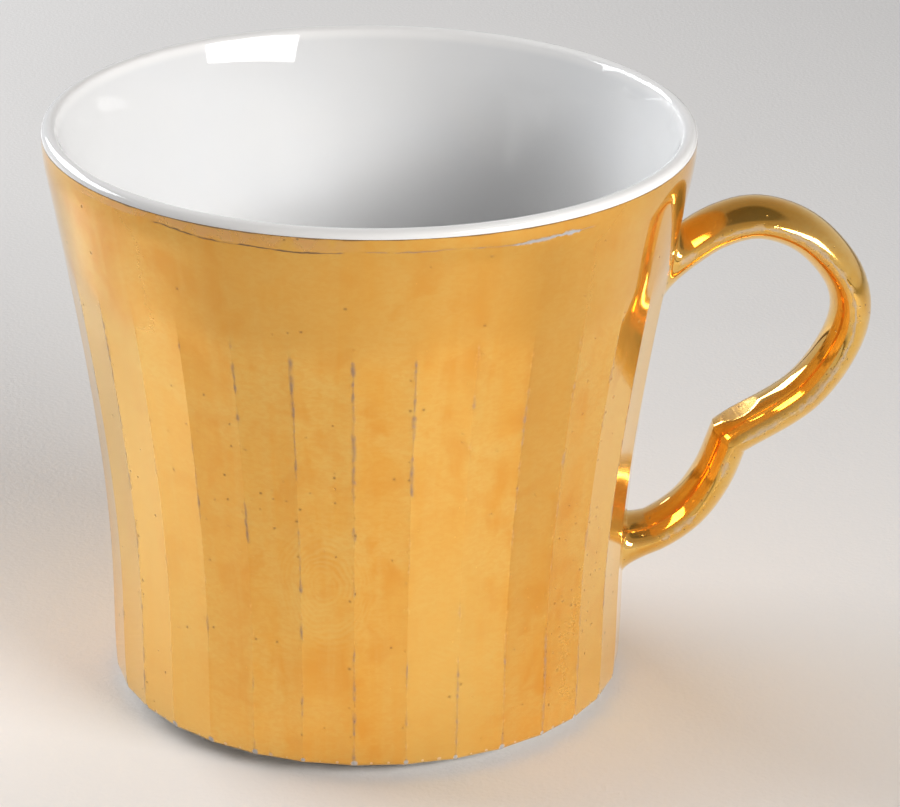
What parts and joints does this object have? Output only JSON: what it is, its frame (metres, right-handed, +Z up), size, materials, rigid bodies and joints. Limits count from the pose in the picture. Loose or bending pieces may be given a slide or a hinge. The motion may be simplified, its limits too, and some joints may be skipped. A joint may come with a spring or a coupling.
{
  "type": "espresso cup",
  "caption": "Flared espresso cup in gilded porcelain, with upright panels outside, a white glazed inside and a looped strap handle with a finger rest.",
  "frame": {"origin": "on the standing plane, under the middle of the outline of cup and handle; the cup's own axis is 9.4 mm from it towards -X", "axes": "+X from the cup towards the handle, +Z up out of the mouth, +Y to the left of someone who looks along +X"},
  "size_m": [0.0846, 0.0658, 0.0606],
  "materials": {
    "porcelain": "fired porcelain, unglazed under the foot",
    "white_glaze": "glossy clear glaze over white porcelain",
    "gold": "bright gold film fired on glaze, worn on the ridges and below the rim"
  },
  "bodies": {
    "root": {"cup_body": "porcelain", "inside_glaze": "white_glaze", "wall_gilding": "gold", "foot_ring": "porcelain", "handle": "porcelain", "handle_gilding": "gold", "upper_handle_joint": "gold", "lower_handle_joint": "gold"}
  },
  "joints": []
}
